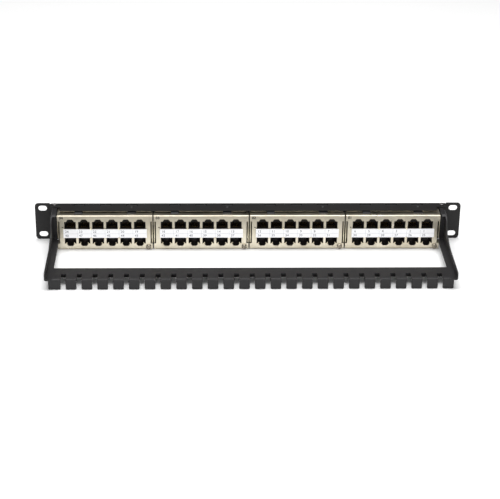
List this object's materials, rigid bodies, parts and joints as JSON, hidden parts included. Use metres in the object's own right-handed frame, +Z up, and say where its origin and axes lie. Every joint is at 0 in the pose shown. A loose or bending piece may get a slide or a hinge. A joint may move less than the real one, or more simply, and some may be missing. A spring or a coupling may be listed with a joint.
{
  "type": "patch panel",
  "caption": "One-unit rack patch panel with shielded feed-through jack modules between rack ears and a comb-fingered cable manager bar on two arms behind it.",
  "frame": {"origin": "centre of the four rack slots, on the rear face of the ears", "axes": "-Y points to the rear of the rack where the cable manager is, +Z up, +X to the right of someone standing behind the panel"},
  "size_m": [0.4826, 0.1338, 0.0453],
  "materials": {
    "black_powder_coat": "fine-textured satin powder coat",
    "bezel_plastic": "matte moulded",
    "nickel_shield": "satin nickel plate",
    "jack_plastic": "matte moulded",
    "board_green": "solder mask",
    "gold_contact": "gold flashed",
    "label_white": "printed label stock",
    "zinc_screw": "nickel plated, slightly dull",
    "black_screw": "black oxide, bright on the edges"
  },
  "bodies": {
    "panel": {"front_panel": "black_powder_coat", "bezel_1": "bezel_plastic", "bezel_2": "bezel_plastic", "bezel_3": "bezel_plastic", "bezel_4": "bezel_plastic", "manager_nuts": "zinc_screw"},
    "module_1": {"shield_1": "nickel_shield", "rear_jacks_1": "jack_plastic", "front_jacks_1": "jack_plastic", "circuit_board_1": "board_green", "rear_contacts_1": "gold_contact", "front_contacts_1": "gold_contact"},
    "label_1": {"label_strip_1": "label_white"},
    "screw_1": {"module_screw_1": "zinc_screw"},
    "module_2": {"shield_2": "nickel_shield", "rear_jacks_2": "jack_plastic", "front_jacks_2": "jack_plastic", "circuit_board_2": "board_green", "rear_contacts_2": "gold_contact", "front_contacts_2": "gold_contact"},
    "label_2": {"label_strip_2": "label_white"},
    "screw_2": {"module_screw_2": "zinc_screw"},
    "module_3": {"shield_3": "nickel_shield", "rear_jacks_3": "jack_plastic", "front_jacks_3": "jack_plastic", "circuit_board_3": "board_green", "rear_contacts_3": "gold_contact", "front_contacts_3": "gold_contact"},
    "label_3": {"label_strip_3": "label_white"},
    "screw_3": {"module_screw_3": "zinc_screw"},
    "module_4": {"shield_4": "nickel_shield", "rear_jacks_4": "jack_plastic", "front_jacks_4": "jack_plastic", "circuit_board_4": "board_green", "rear_contacts_4": "gold_contact", "front_contacts_4": "gold_contact"},
    "label_4": {"label_strip_4": "label_white"},
    "screw_4": {"module_screw_4": "zinc_screw"},
    "manager": {"cable_manager": "black_powder_coat"},
    "manager_screw_left": {"manager_screw_left": "black_screw"},
    "manager_screw_right": {"manager_screw_right": "black_screw"}
  },
  "joints": [
    {"name": "module_1_withdraw", "type": "slide", "parent": "panel", "child": "module_1", "axis": [0, -1, 0], "range_m": [0, 0.065]},
    {"name": "label_1_lift_off", "type": "slide", "parent": "module_1", "child": "label_1", "axis": [0, -1, 0], "range_m": [0, 0.012]},
    {"name": "module_screw_1_turn", "type": "hinge", "parent": "module_1", "child": "screw_1", "pos_m": [0.20965, -0.028, -0.0186], "axis": [0, -1, 0], "continuous": true},
    {"name": "module_2_withdraw", "type": "slide", "parent": "panel", "child": "module_2", "axis": [0, -1, 0], "range_m": [0, 0.065]},
    {"name": "label_2_lift_off", "type": "slide", "parent": "module_2", "child": "label_2", "axis": [0, -1, 0], "range_m": [0, 0.012]},
    {"name": "module_screw_2_turn", "type": "hinge", "parent": "module_2", "child": "screw_2", "pos_m": [0.10215, -0.028, -0.0186], "axis": [0, -1, 0], "continuous": true},
    {"name": "module_3_withdraw", "type": "slide", "parent": "panel", "child": "module_3", "axis": [0, -1, 0], "range_m": [0, 0.065]},
    {"name": "label_3_lift_off", "type": "slide", "parent": "module_3", "child": "label_3", "axis": [0, -1, 0], "range_m": [0, 0.012]},
    {"name": "module_screw_3_turn", "type": "hinge", "parent": "module_3", "child": "screw_3", "pos_m": [-0.00535, -0.028, -0.0186], "axis": [0, -1, 0], "continuous": true},
    {"name": "module_4_withdraw", "type": "slide", "parent": "panel", "child": "module_4", "axis": [0, -1, 0], "range_m": [0, 0.065]},
    {"name": "label_4_lift_off", "type": "slide", "parent": "module_4", "child": "label_4", "axis": [0, -1, 0], "range_m": [0, 0.012]},
    {"name": "module_screw_4_turn", "type": "hinge", "parent": "module_4", "child": "screw_4", "pos_m": [-0.11285, -0.028, -0.0186], "axis": [0, -1, 0], "continuous": true},
    {"name": "manager_slide_off", "type": "slide", "parent": "panel", "child": "manager", "axis": [0, -1, 0], "range_m": [0, 0.06]},
    {"name": "manager_screw_left_turn", "type": "hinge", "parent": "panel", "child": "manager_screw_left", "pos_m": [-0.2187, -0.0036, 0.022], "axis": [0, 0, 1], "continuous": true},
    {"name": "manager_screw_right_turn", "type": "hinge", "parent": "panel", "child": "manager_screw_right", "pos_m": [0.2187, -0.0036, 0.022], "axis": [0, 0, 1], "continuous": true}
  ]
}
